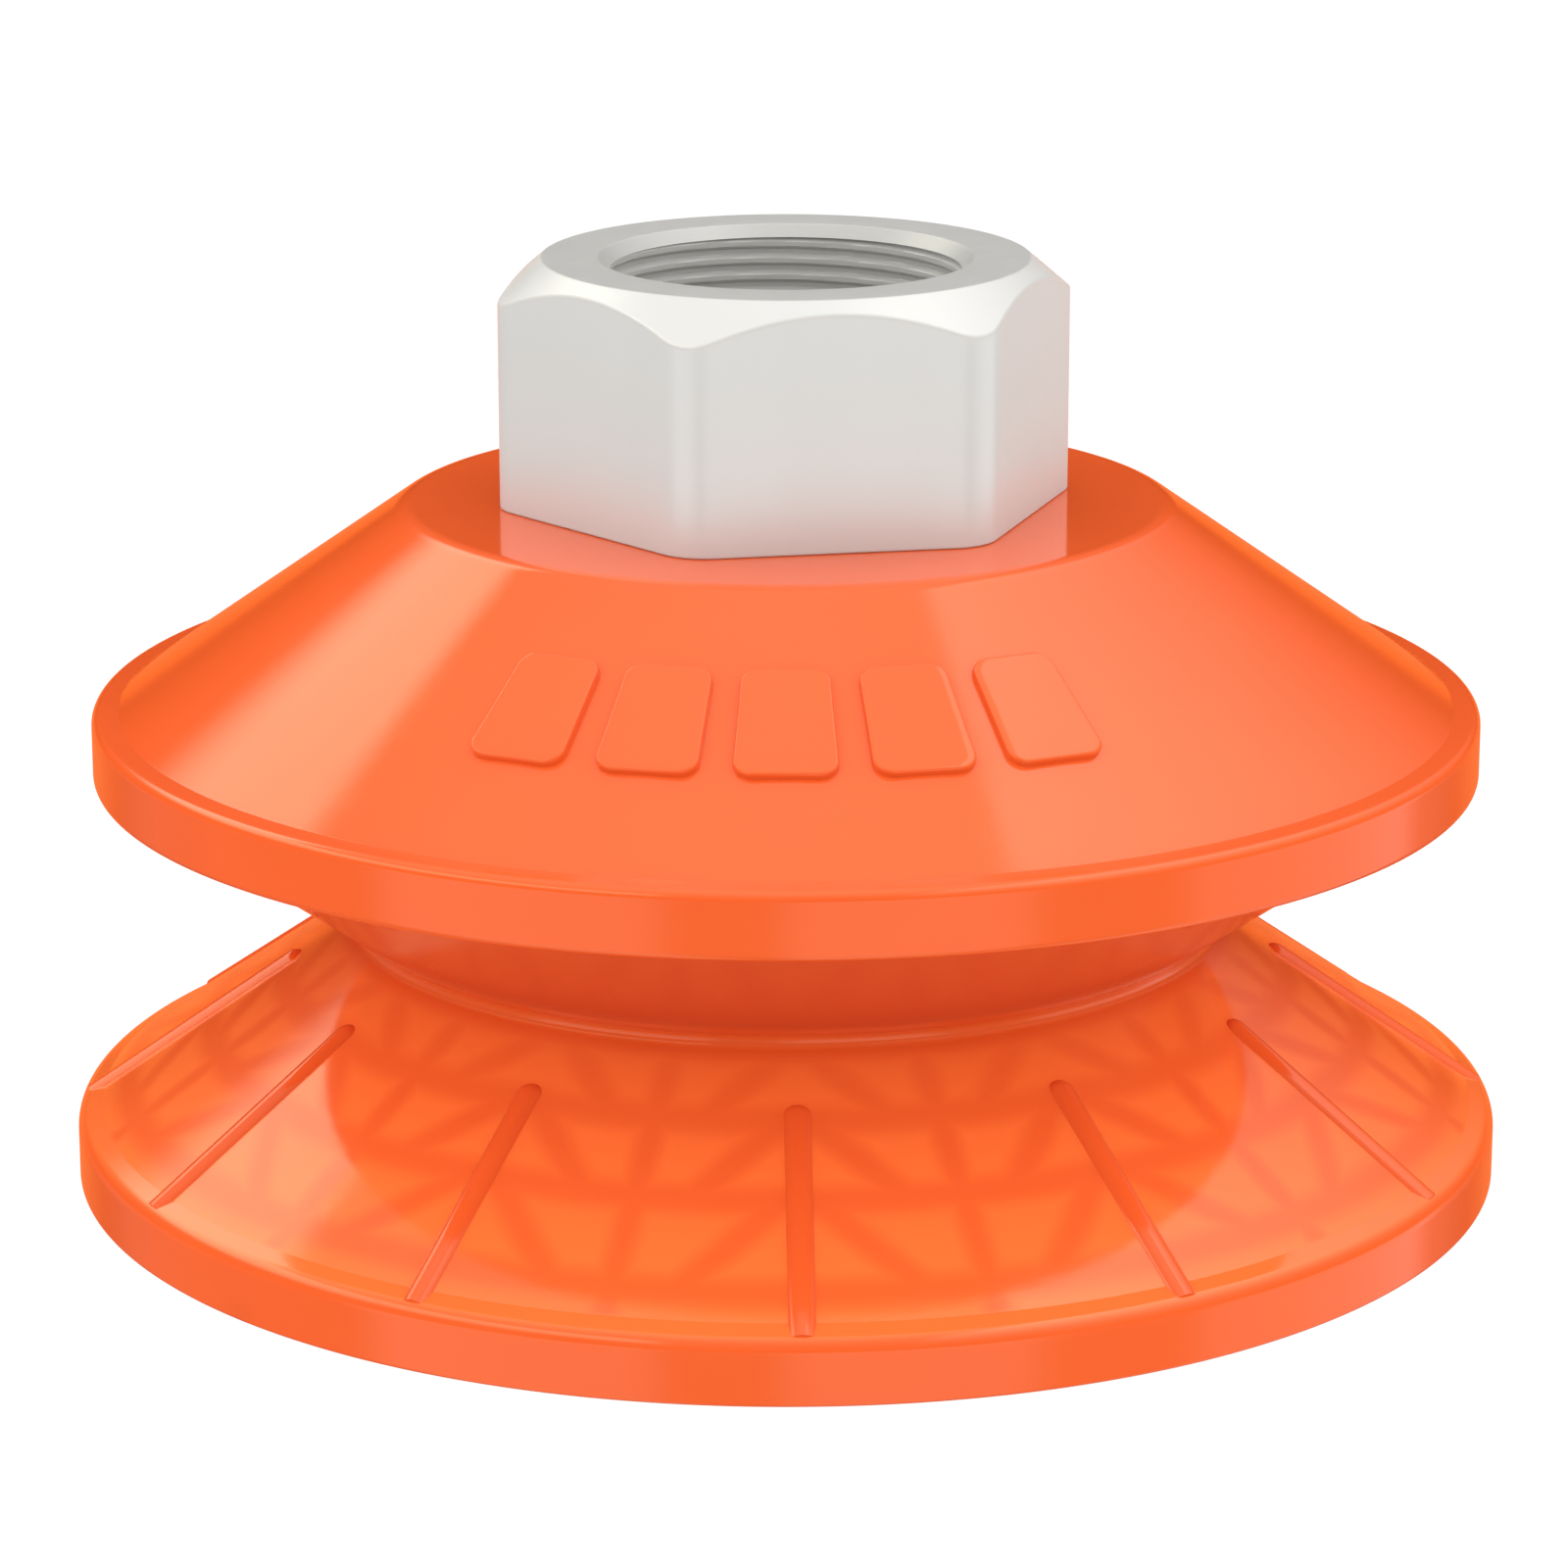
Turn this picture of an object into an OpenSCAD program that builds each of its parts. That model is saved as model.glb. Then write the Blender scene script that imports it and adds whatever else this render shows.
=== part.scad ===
// Bellows vacuum suction cup with a hexagonal threaded fitting.
// Millimetres. Origin at the centre of the lip's sealing face, +Z up through the thread.

/* [Fitting] */
// Size across the hexagon's flats
hex_flats = 24; // [23:0.1:25]
// Height of the hexagon above the cup
hex_height = 11.45; // [10:0.05:13]
// Rounding of the hexagon's six corners
hex_corner_r = 2.4; // [1:0.1:3]
// Radius of the flat circle on top of the hexagon
hex_crown_r = 11.35; // [10.5:0.05:11.8]
// Slope of the crown chamfer from the horizontal, in degrees
hex_crown_slope = 40.5; // [25:0.5:50]
// Turn of the hexagon about the axis, in degrees
hex_turn = 10.8; // [0:0.1:60]
// Inside diameter of the parallel pipe thread, at its crests
thread_minor_d = 16.3; // [16:0.05:16.6]
// Depth of the threaded hole
thread_depth = 11.6; // [9:0.1:12]
// Diameter of the countersink at the mouth of the thread
mouth_d = 17.45; // [16.8:0.05:19]
// Diameter of the air passage under the thread
air_passage_d = 12; // [8:0.1:13]
// Radius of the barb that holds the cup's collar from below
barb_r = 12.2; // [11:0.1:13]
// Height of the barb
barb_height = 3.2; // [2.8:0.1:4]

/* [Filter] */
// Radius of the filter disc
filter_r = 7.4; // [6.5:0.1:7.6]
// Thickness of the filter disc
filter_thickness = 0.5; // [0.3:0.1:0.8]
// Distance between the filter's wires
filter_pitch = 1.4; // [1.2:0.1:2.5]
// Width of each wire
filter_wire = 0.5; // [0.3:0.05:0.6]
// Thickness of the snap ring that keeps the filter in
snap_ring_thickness = 0.7; // [0.5:0.1:1]
// Gap between the snap ring's ends, in degrees
snap_ring_gap = 40; // [20:5:70]

/* [Bellows] */
// Height of the collar's flat top above the sealing face
collar_top = 32.02; // [31:0.02:34]
// Radius where the collar's flat top turns into the upper cone
shoulder_r = 17.9; // [17:0.1:19]
// Rounding of that shoulder
shoulder_round = 1.5; // [0.8:0.1:2]
// Thickness of the collar
collar_thickness = 3; // [2.5:0.1:4]
// Radius of the hole that the fitting's spigot fills
collar_hole_r = 9; // [8.5:0.1:10]
// Slope of the upper cone, in degrees
upper_slope = 35.05; // [34.9:0.05:35.2]
// Slope of the inner cone under the upper rim, in degrees
inner_slope = 35.9; // [35.7:0.1:36.1]
// Slope of the lower cone, in degrees
lower_slope = 34.4; // [34.3:0.1:34.6]
// Radius of the upper rim
upper_rim_r = 32.65; // [32.6:0.05:32.9]
// Radius of the crease where the upper cone meets the rim
upper_crease_r = 31.4; // [31.3:0.05:31.5]
// Radius of the outside of the waist, before rounding
waist_r = 20.25; // [20.2:0.05:20.3]
// Height of the waist above the sealing face
waist_z = 11.95; // [11.9:0.01:12]
// Thickness of the upper and inner cones
bellows_wall = 1.7; // [1.5:0.1:1.8]
// Thickness of the lower cone
lip_wall = 1.5; // [1.3:0.1:1.6]

/* [Lip] */
// Radius of the lip's rim
lip_r = 33.9; // [33.8:0.05:34.1]
// Radius of the crease where the lower cone meets the lip's rim
lip_crease_r = 32.75; // [32.7:0.05:32.8]
// Rounding of the rim's upper edge
lip_round = 0.84; // [0.5:0.02:0.9]
// Height of the rim's straight outer wall
lip_wall_height = 2.35; // [2:0.05:2.4]

/* [Ribs and cleats] */
// Number of outer ribs, and of sectors in the cleat pattern
sectors = 12; // [8:1:14]
// Turn of the ribs and the cleats about the axis, in degrees
rib_turn = 1.2; // [-10:0.1:10]
// Width of an outer rib
rib_width = 1.2; // [0.8:0.05:1.5]
// Height of an outer rib above the lower cone
rib_height = 0.3; // [0.2:0.02:0.5]
// Radius at which the ribs start
rib_start_r = 23.2; // [22.6:0.1:25]
// Width of a friction cleat
cleat_width = 1.25; // [0.8:0.05:1.5]
// Height of a friction cleat under the lower cone
cleat_height = 0.6; // [0.3:0.05:0.8]
// Radius at which the cleats begin, at the edge of the throat
cleat_throat_r = 19.8; // [19.7:0.1:20.2]
// Radius of the innermost cleat ring
cleat_first_r = 22.5; // [22.3:0.1:22.8]
// Radius of the outermost cleat ring
cleat_last_r = 30.1; // [29.8:0.1:30.3]
// Angle from a rib to the foot of the cleat's slanted arm, in degrees
cleat_foot = 10; // [8:0.5:11]
// Angle from a rib to the head of the cleat's slanted arm, in degrees
cleat_head = 1.8; // [1:0.1:3]

/* [Raised tiles] */
// Number of plain raised tiles on the front of the upper cone
tile_count = 5; // [3:1:7]
// Width of a tile
tile_width = 4.2; // [3:0.1:5]
// Length of a tile along the cone
tile_length = 6; // [3:0.1:7]
// Height of a tile above the cone
tile_height = 0.35; // [0.2:0.05:0.5]
// Angle between neighbouring tiles, in degrees
tile_step = 13; // [12:0.5:16]
// Radius of the middle of the tiles
tile_r = 24.4; // [24:0.1:27]

/* [Hidden] */
$fn = 96;
arc_steps = 6;
over = 1;

// The cones, as heights at a radius
function upper_outside(r) = collar_top - (r - shoulder_r) * tan(upper_slope);
function upper_inside(r) = upper_outside(r) - bellows_wall / cos(upper_slope);
function inner_outside(r) = waist_z + (r - waist_r) * tan(inner_slope);
function inner_inside(r) = inner_outside(r) + bellows_wall / cos(inner_slope);
function lower_outside(r) = waist_z - (r - waist_r) * tan(lower_slope);
function lower_inside(r) = lower_outside(r) - lip_wall / cos(lower_slope);

// Points along an arc in the radius-height plane
function arc(r, z, radius, from, to) =
    [for (i = [0 : arc_steps]) let (a = from + (to - from) * i / arc_steps)
        [r + radius * cos(a), z + radius * sin(a)]];

// Radii at which the moulding is divided into zones
collar_edge_r = shoulder_r + 1.6;
upper_rim_edge_r = 29.3;
waist_edge_r = waist_r + 1.35;
lip_edge_r = 31.2;

hex_top = collar_top + hex_height;
collar_under = collar_top - collar_thickness;
barb_under = collar_under - barb_height;
upper_crease_z = upper_outside(upper_crease_r);
upper_rim_under = 19.42;
upper_rim_under_r = waist_r + (upper_rim_under - waist_z) / tan(inner_slope);
rim_edge_round = 0.45;
rim_under_round = 0.3;
lip_crease_z = lower_outside(lip_crease_r);
lip_edge_round = 0.15;
filter_top = barb_under + 2.3;
filter_seat_r = filter_r + 0.1;
snap_groove_r = filter_r + 0.7;
snap_groove_top = filter_top - filter_thickness - 0.05;
snap_groove_height = snap_ring_thickness + 0.1;

// A hexagon with rounded corners
module rounded_hexagon(flats, corner_r) {
    core_r = (flats - 2 * corner_r) / sqrt(3);
    polygon([for (k = [0 : 5], i = [0 : arc_steps]) let (a = 60 * k - 30 + 60 * i / arc_steps)
        [core_r * cos(60 * k) + corner_r * cos(a), core_r * sin(60 * k) + corner_r * sin(a)]]);
}

// The cone that cuts the crown of the hexagon
module crown() {
    reach = hex_flats;
    drop = (reach - hex_crown_r) * tan(hex_crown_slope);
    rotate_extrude()
        polygon([[0, collar_top], [reach, collar_top], [reach, hex_top - drop],
            [hex_crown_r, hex_top], [0, hex_top]]);
}

// What is bored out of the fitting, from the thread's mouth to the filter seat
module fitting_bore() {
    thread_r = thread_minor_d / 2;
    mouth_r = mouth_d / 2;
    passage_r = air_passage_d / 2;
    seat_top = filter_top;
    rotate_extrude()
        polygon([[0, barb_under - over], [filter_seat_r, barb_under - over],
            [filter_seat_r, snap_groove_top - snap_groove_height],
            [snap_groove_r, snap_groove_top - snap_groove_height],
            [snap_groove_r, snap_groove_top], [filter_seat_r, snap_groove_top],
            [filter_seat_r, seat_top], [passage_r, seat_top],
            [passage_r, hex_top - thread_depth], [thread_r, hex_top - thread_depth],
            [thread_r, hex_top - (mouth_r - thread_r)], [mouth_r, hex_top],
            [mouth_r, hex_top + over], [0, hex_top + over]]);
}

// Spigot through the collar, with the barb under it
module spigot() {
    lead_in = 1.3;
    rotate_extrude()
        polygon([[0, barb_under], [barb_r - lead_in, barb_under], [barb_r, barb_under + lead_in],
            [barb_r, collar_under], [collar_hole_r, collar_under],
            [collar_hole_r, collar_top], [0, collar_top]]);
}

module hex_fitting() {
    color("lightgray")
        difference() {
            union() {
                intersection() {
                    translate([0, 0, collar_top])
                        rotate(hex_turn)
                            linear_extrude(hex_height)
                                rounded_hexagon(hex_flats, hex_corner_r);
                    crown();
                }
                spigot();
            }
            fitting_bore();
        }
}

// Crossed wires, cut to a disc and held in a thin hoop
module filter_mesh() {
    hoop = 0.5;
    wires = floor(filter_r / filter_pitch);
    color("silver")
        translate([0, 0, filter_top - filter_thickness])
            linear_extrude(filter_thickness) {
                difference() {
                    circle(filter_r);
                    circle(filter_r - hoop);
                }
                intersection() {
                    circle(filter_r - hoop / 2);
                    union() {
                        for (i = [-wires : wires]) {
                            translate([i * filter_pitch, 0])
                                square([filter_wire, 2 * filter_r], center = true);
                            translate([0, i * filter_pitch])
                                square([2 * filter_r, filter_wire], center = true);
                        }
                    }
                }
            }
}

// Open spring-steel ring, sprung into its groove under the filter
module filter_snap_ring() {
    ring_r = snap_groove_r - 0.1;
    ring_width = 1.3;
    lug_r = 0.9;
    half_gap = snap_ring_gap / 2;
    lug_path_r = ring_r - lug_r;
    color("dimgray")
        translate([0, 0, snap_groove_top - snap_ring_thickness - 0.05])
            linear_extrude(snap_ring_thickness)
                difference() {
                    union() {
                        difference() {
                            circle(ring_r);
                            circle(ring_r - ring_width);
                            polygon([[0, 0],
                                [2 * ring_r, -2 * ring_r * tan(half_gap)],
                                [2 * ring_r, 2 * ring_r * tan(half_gap)]]);
                        }
                        for (side = [-1, 1])
                            rotate(side * (half_gap + 6)) translate([lug_path_r, 0]) circle(lug_r);
                    }
                    for (side = [-1, 1])
                        rotate(side * (half_gap + 6)) translate([lug_path_r, 0]) circle(lug_r / 2);
                }
}

// Thick disc of the moulding that the fitting's barb and hexagon grip
module collar() {
    bend = shoulder_round * tan(upper_slope / 2);
    color("tomato")
        rotate_extrude()
            polygon(concat(
                [[collar_hole_r, collar_top], [collar_hole_r, collar_under],
                    [shoulder_r + 1.2, collar_under],
                    [collar_edge_r, upper_inside(collar_edge_r)],
                    [collar_edge_r, upper_outside(collar_edge_r)]],
                arc(shoulder_r - bend, collar_top - shoulder_round, shoulder_round,
                    90 - upper_slope, 90)));
}

module upper_wall() {
    color("tomato")
        rotate_extrude()
            polygon([[collar_edge_r, upper_inside(collar_edge_r)],
                [upper_rim_edge_r, upper_inside(upper_rim_edge_r)],
                [upper_rim_edge_r, upper_outside(upper_rim_edge_r)],
                [collar_edge_r, upper_outside(collar_edge_r)]]);
}

// Plain tiles standing on the front of the upper cone
module raised_tiles() {
    corner = 0.8;
    sink = 2;
    first = -(tile_count - 1) / 2;
    color("tomato")
        difference() {
            for (i = [0 : tile_count - 1])
                rotate((first + i) * tile_step)
                    translate([0, -tile_r, upper_outside(tile_r)])
                        rotate([upper_slope, 0, 0])
                            translate([0, 0, -sink])
                                linear_extrude(sink + tile_height)
                                    rounded_tile(tile_width, tile_length, corner);
            rotate_extrude($fn = 360)
                polygon([[shoulder_r, collar_under - tile_length], [upper_crease_r, 0],
                    [upper_crease_r, upper_crease_z], [shoulder_r, collar_top]]);
        }
}

module rounded_tile(width, length, corner) {
    square([width - 2 * corner, length], center = true);
    square([width, length - 2 * corner], center = true);
    for (x = [-1, 1], y = [-1, 1])
        translate([x * (width / 2 - corner), y * (length / 2 - corner)]) circle(corner);
}

// Solid ring where the upper and inner cones meet
module upper_rim() {
    cavity_r = 30;
    cavity_z = (upper_inside(cavity_r) + inner_inside(cavity_r)) / 2;
    top_z = upper_crease_z - 0.1;
    color("orangered")
        rotate_extrude()
            polygon(concat(
                [[upper_rim_edge_r, upper_inside(upper_rim_edge_r)],
                    [cavity_r, cavity_z + 0.15], [cavity_r, cavity_z - 0.15],
                    [upper_rim_edge_r, inner_inside(upper_rim_edge_r)],
                    [upper_rim_edge_r, inner_outside(upper_rim_edge_r)],
                    [upper_rim_under_r, upper_rim_under]],
                arc(upper_rim_r - rim_under_round, upper_rim_under + rim_under_round,
                    rim_under_round, -90, 0),
                arc(upper_rim_r - rim_edge_round, top_z - rim_edge_round,
                    rim_edge_round, 0, 90),
                [[upper_crease_r, upper_crease_z],
                    [upper_rim_edge_r, upper_outside(upper_rim_edge_r)]]));
}

module inner_wall() {
    color("tomato")
        rotate_extrude()
            polygon([[waist_edge_r, inner_outside(waist_edge_r)],
                [upper_rim_edge_r, inner_outside(upper_rim_edge_r)],
                [upper_rim_edge_r, inner_inside(upper_rim_edge_r)],
                [waist_edge_r, inner_inside(waist_edge_r)]]);
}

// Narrow ring between the two bellows, with a rounded groove outside
module waist_ring() {
    groove_round = 0.45;
    half_angle = (inner_slope + lower_slope) / 2;
    groove_r = waist_r + groove_round / sin(half_angle);
    back_round = 1.6;
    back_z = (inner_inside(waist_r) + lower_inside(waist_r)) / 2;
    back_r = waist_r + 0.1;
    color("orangered")
        rotate_extrude()
            polygon(concat(
                [[waist_edge_r, inner_inside(waist_edge_r)]],
                arc(back_r, back_z, back_round, 90 + inner_slope, 270 - lower_slope),
                [[waist_edge_r, lower_inside(waist_edge_r)],
                    [waist_edge_r, lower_outside(waist_edge_r)]],
                arc(groove_r, waist_z, groove_round, 270 - lower_slope, 90 + inner_slope),
                [[waist_edge_r, inner_outside(waist_edge_r)]]));
}

module lower_wall() {
    color("tomato")
        rotate_extrude()
            polygon([[waist_edge_r, lower_inside(waist_edge_r)],
                [lip_edge_r, lower_inside(lip_edge_r)],
                [lip_edge_r, lower_outside(lip_edge_r)],
                [waist_edge_r, lower_outside(waist_edge_r)]]);
}

// Everything under the lower cone's outside, from the waist to the lip's crease
module below_lower_cone() {
    inner_r = rib_start_r - 2;
    rotate_extrude($fn = 360)
        polygon([[inner_r, 0], [lip_crease_r, 0], [lip_crease_r, lip_crease_z],
            [inner_r, lower_outside(inner_r)]]);
}

// Cross-section of a rib: a rounded back on a foot sunk in the cone, looking down the rib
module rib_section() {
    back_r = (rib_width * rib_width / 4 + rib_height * rib_height) / (2 * rib_height);
    intersection() {
        translate([back_r - rib_height, 0]) circle(back_r);
        translate([-rib_height, -rib_width / 2]) square([rib_height + 0.2, rib_width]);
    }
}

// Ribs with rounded backs that run down the lower cone to the lip's rim
module lip_ribs() {
    rib_length = (lip_edge_r - rib_start_r) / cos(lower_slope);
    color("tomato")
        difference() {
            for (i = [0 : sectors - 1])
                rotate(rib_turn + i * 360 / sectors)
                    translate([rib_start_r, 0, lower_outside(rib_start_r)])
                        rotate([0, 90 + lower_slope, 0])
                            linear_extrude(rib_length) rib_section();
            below_lower_cone();
        }
}

// Pattern of the cleats in plan: rings, radial bars, and a slanted pair in each cell.
// The innermost cells reach the throat without a ring.
module cleat_pattern() {
    rings = 3;
    ring_step = (cleat_last_r - cleat_first_r) / (rings - 1);
    sector = 360 / sectors;
    for (i = [0 : rings - 1])
        difference() {
            circle(cleat_first_r + i * ring_step + cleat_width / 2);
            circle(cleat_first_r + i * ring_step - cleat_width / 2);
        }
    for (i = [0 : sectors - 1]) {
        rotate(rib_turn + (i + 0.5) * sector)
            translate([cleat_throat_r - cleat_width, -cleat_width / 2])
                square([cleat_last_r - cleat_throat_r + cleat_width, cleat_width]);
        for (side = [-1, 1])
            rotate(rib_turn + i * sector)
                slanted_arm(cleat_throat_r - 0.4, cleat_first_r, side);
        for (cell = [0 : rings - 2], side = [-1, 1])
            rotate(rib_turn + i * sector)
                slanted_arm(cleat_first_r + cell * ring_step,
                    cleat_first_r + (cell + 1) * ring_step, side);
    }
}

module slanted_arm(head_r, foot_r, side) {
    head = [head_r * cos(cleat_head), side * head_r * sin(cleat_head)];
    foot = [foot_r * cos(cleat_foot), side * foot_r * sin(cleat_foot)];
    run = foot - head;
    translate(head)
        rotate(atan2(run[1], run[0]))
            translate([0, -cleat_width / 2])
                square([norm(run), cleat_width]);
}

module friction_cleats() {
    low_r = cleat_throat_r;
    high_r = lip_edge_r - 0.3;
    color("orangered")
        intersection() {
            linear_extrude(waist_z) cleat_pattern();
            rotate_extrude()
                polygon([[low_r, lower_inside(low_r) - cleat_height],
                    [high_r, lower_inside(high_r) - cleat_height],
                    [high_r, lower_inside(high_r)], [low_r, lower_inside(low_r)]]);
        }
}

// Ring that seals on the workpiece
module lip_rim() {
    seal_inner_r = lip_r - 1.9;
    bevel_end = 64;
    color("orangered")
        rotate_extrude()
            polygon(concat(
                [[lip_edge_r, lower_inside(lip_edge_r)], [seal_inner_r, lip_edge_round],
                    [seal_inner_r + lip_edge_round, 0]],
                arc(lip_r - lip_edge_round, lip_edge_round, lip_edge_round, -90, 0),
                arc(lip_r - lip_round, lip_wall_height, lip_round, 0, bevel_end),
                [[lip_crease_r, lip_crease_z], [lip_edge_r, lower_outside(lip_edge_r)]]));
}

hex_fitting();
filter_mesh();
filter_snap_ring();
collar();
upper_wall();
raised_tiles();
upper_rim();
inner_wall();
waist_ring();
lower_wall();
lip_ribs();
friction_cleats();
lip_rim();
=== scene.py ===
import math

import bpy
import numpy as np
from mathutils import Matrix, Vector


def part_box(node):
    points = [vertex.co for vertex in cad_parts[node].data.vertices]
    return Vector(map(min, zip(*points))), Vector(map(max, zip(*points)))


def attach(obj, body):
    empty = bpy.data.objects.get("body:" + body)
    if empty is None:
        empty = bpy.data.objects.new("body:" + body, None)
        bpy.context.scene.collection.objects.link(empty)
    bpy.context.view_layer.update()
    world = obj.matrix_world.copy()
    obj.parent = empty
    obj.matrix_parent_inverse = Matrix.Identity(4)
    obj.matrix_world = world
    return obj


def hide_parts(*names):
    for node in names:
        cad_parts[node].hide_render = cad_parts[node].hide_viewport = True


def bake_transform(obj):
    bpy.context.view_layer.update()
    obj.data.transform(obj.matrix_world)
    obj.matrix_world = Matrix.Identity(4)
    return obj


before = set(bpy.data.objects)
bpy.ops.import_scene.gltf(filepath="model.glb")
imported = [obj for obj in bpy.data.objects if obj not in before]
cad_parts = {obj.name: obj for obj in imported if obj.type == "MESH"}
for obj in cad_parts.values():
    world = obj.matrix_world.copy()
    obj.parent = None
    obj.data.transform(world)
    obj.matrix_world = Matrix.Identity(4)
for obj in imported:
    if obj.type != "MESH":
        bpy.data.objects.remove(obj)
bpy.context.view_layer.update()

MM = 0.001


# ---------------------------------------------------------------- sizes, in millimetres

def top_of(node):
    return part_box(node)[1].z / MM


def bottom_of(node):
    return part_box(node)[0].z / MM


def radius_of(node):
    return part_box(node)[1].x / MM


# The cones of the bellows
COLLAR_TOP = top_of("collar")
COLLAR_UNDER = COLLAR_TOP - 3.0
COLLAR_HOLE_R = 9.0
SHOULDER_ROUND = 1.5
SHOULDER_R = 17.9
UPPER_SLOPE = math.radians(35.05)
INNER_SLOPE = math.radians(35.9)
LOWER_SLOPE = math.radians(34.4)
WAIST_R = 20.25
WAIST_Z = 11.95
BELLOWS_WALL = 1.7
LIP_WALL = 1.5
WAIST_ROUND = 0.45
THROAT_ROUND = 1.6

# Where one zone of the moulding ends and the next begins
WAIST_EDGE_R = radius_of("waist_ring")
LIP_EDGE_R = radius_of("lower_wall")

# The rims
UPPER_RIM_R = radius_of("upper_rim")
UPPER_RIM_UNDER = 19.42
UPPER_CREASE_R = 31.4
UPPER_RIM_ROUND = 0.45
UPPER_RIM_UNDER_ROUND = 0.3
UPPER_CREASE_DEPTH = 0.12
LIP_R = radius_of("lip_rim")
LIP_CREASE_R = 32.75
SEAL_INNER_R = LIP_R - 1.9
SEAL_ROUND = 0.15
LIP_ROUND = 0.84
LIP_CORNER_Z = 2.876
LIP_BEVEL = (33.42, 3.11)

# Ribs and cleats
SECTORS = 12
SECTOR = 2 * math.pi / SECTORS
RIB_TURN = math.radians(1.2)
RIB_WIDTH = 1.2
RIB_HEIGHT = 0.3
RIB_START_R = 23.2
RIB_END_R = 33.4
CLEAT_WIDTH = 1.25
CLEAT_HEIGHT = 0.6
CLEAT_THROAT_R = 19.8
CLEAT_RINGS = (22.5, 26.3, 30.1)
CLEAT_HEAD = math.radians(1.8)
CLEAT_FOOT = math.radians(10)

# Radii of the rings of painted shade coloured on the outside, a little further out than the cleats
SHADOW_RINGS = (20.8, 23.95, 27.5, 31.5)

# Raised tiles
TILE_COUNT = 5
TILE_WIDTH = 4.2
TILE_LENGTH = 6.0
TILE_CORNER = 0.8
TILE_HEIGHT = 0.35
TILE_STEP = math.radians(13)
TILE_R = 24.4

# Fitting
HEX_FLATS = 24.0
HEX_CORNER = 2.4
HEX_TURN = math.radians(10.8)
HEX_TOP = top_of("hex_fitting")
CROWN_R = 11.35
CROWN_SLOPE = math.radians(40.5)
MOUTH_R = 17.45 / 2
THREAD_MINOR_R = 16.3 / 2
THREAD_PITCH = 0.8
THREAD_CUT = 0.22
THREAD_END = HEX_TOP - 11.6
BARB_R = 12.2
BARB_UNDER = bottom_of("hex_fitting")
FILTER_R = radius_of("filter_mesh")
FILTER_TOP = top_of("filter_mesh")
FILTER_PITCH = 1.4
WIRE_R = 0.15
WEAVE = 0.1

FRONT = -math.pi / 2


def upper_outside(r):
    return COLLAR_TOP - (r - SHOULDER_R) * math.tan(UPPER_SLOPE)


def upper_inside(r):
    return upper_outside(r) - BELLOWS_WALL / math.cos(UPPER_SLOPE)


def inner_outside(r):
    return WAIST_Z + (r - WAIST_R) * math.tan(INNER_SLOPE)


def inner_inside(r):
    return inner_outside(r) + BELLOWS_WALL / math.cos(INNER_SLOPE)


def lower_outside(r):
    return WAIST_Z - (r - WAIST_R) * math.tan(LOWER_SLOPE)


def lower_inside(r):
    return lower_outside(r) - LIP_WALL / math.cos(LOWER_SLOPE)


# ---------------------------------------------------------------- outlines and meshes

ARC_STEPS = 8
POINT_STEP = 0.45
GUARD = 0.02


def arc_at(corner, before, after, radius):
    """Points of the arc that rounds a corner between two neighbours."""
    corner, before, after = (np.array(p[:2], float) for p in (corner, before, after))
    a = (before - corner) / np.linalg.norm(before - corner)
    b = (after - corner) / np.linalg.norm(after - corner)
    half = math.acos(max(-1.0, min(1.0, float(a @ b)))) / 2
    middle = (a + b) / np.linalg.norm(a + b)
    centre = corner + middle * radius / math.sin(half)
    start = corner + a * radius / math.tan(half)
    end = corner + b * radius / math.tan(half)
    angle = math.atan2(*(start - centre)[::-1])
    sweep = math.atan2(*(end - centre)[::-1]) - angle
    sweep = (sweep + math.pi) % (2 * math.pi) - math.pi
    turns = angle + sweep * np.linspace(0, 1, ARC_STEPS + 1)
    return [centre + radius * np.array((math.cos(t), math.sin(t))) for t in turns]


def rounded(corners, step=POINT_STEP):
    """Closed outline through corners (r, z) or (r, z, rounding), with points no further than step apart.

    A point close to each end of a straight keeps it flat-shaded up to its rounded corner.
    """
    points = []
    for i, corner in enumerate(corners):
        if len(corner) > 2:
            points += arc_at(corner, corners[i - 1], corners[(i + 1) % len(corners)], corner[2])
        else:
            points.append(np.array(corner, float))
    dense = []
    for i, p in enumerate(points):
        length = np.linalg.norm(points[(i + 1) % len(points)] - p)
        shares = np.linspace(0, 1, max(1, math.ceil(length / step - 1e-6)) + 1)[:-1]
        if length > 6 * GUARD:
            shares = np.sort(np.concatenate([shares, [GUARD / length, 1 - GUARD / length]]))
        dense += [p + (points[(i + 1) % len(points)] - p) * share for share in shares]
    return np.array(dense)


def add_object(name, points, faces, sharp=35):
    """A smooth-shaded mesh object from points in millimetres."""
    mesh = bpy.data.meshes.new(name)
    mesh.from_pydata(np.asarray(points, float) * MM, [], faces)
    mesh.update()
    mesh.shade_smooth()
    mesh.set_sharp_from_angle(angle=math.radians(sharp))
    piece = bpy.data.objects.new(name, mesh)
    bpy.context.scene.collection.objects.link(piece)
    return piece


def closed_grid(columns, rows):
    """Quads of a grid that closes on itself both ways, point (i, j) being number i * rows + j."""
    i, j = np.meshgrid(np.arange(columns), np.arange(rows), indexing="ij")
    i2, j2 = (i + 1) % columns, (j + 1) % rows
    quads = np.stack([i * rows + j, i * rows + j2, i2 * rows + j2, i2 * rows + j], -1)
    return quads.reshape(-1, 4).tolist()


def lathe(name, outline, columns=288, sharp=35):
    """A solid of revolution from a closed outline that runs anticlockwise in (r, z)."""
    turns = np.linspace(0, 2 * math.pi, columns, endpoint=False)
    r, z = outline[:, 0], outline[:, 1]
    x = np.cos(turns)[:, None] * r
    y = np.sin(turns)[:, None] * r
    points = np.stack([x, y, np.broadcast_to(z, x.shape)], -1).reshape(-1, 3)
    return add_object(name, points, closed_grid(columns, len(outline)), sharp)


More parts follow.
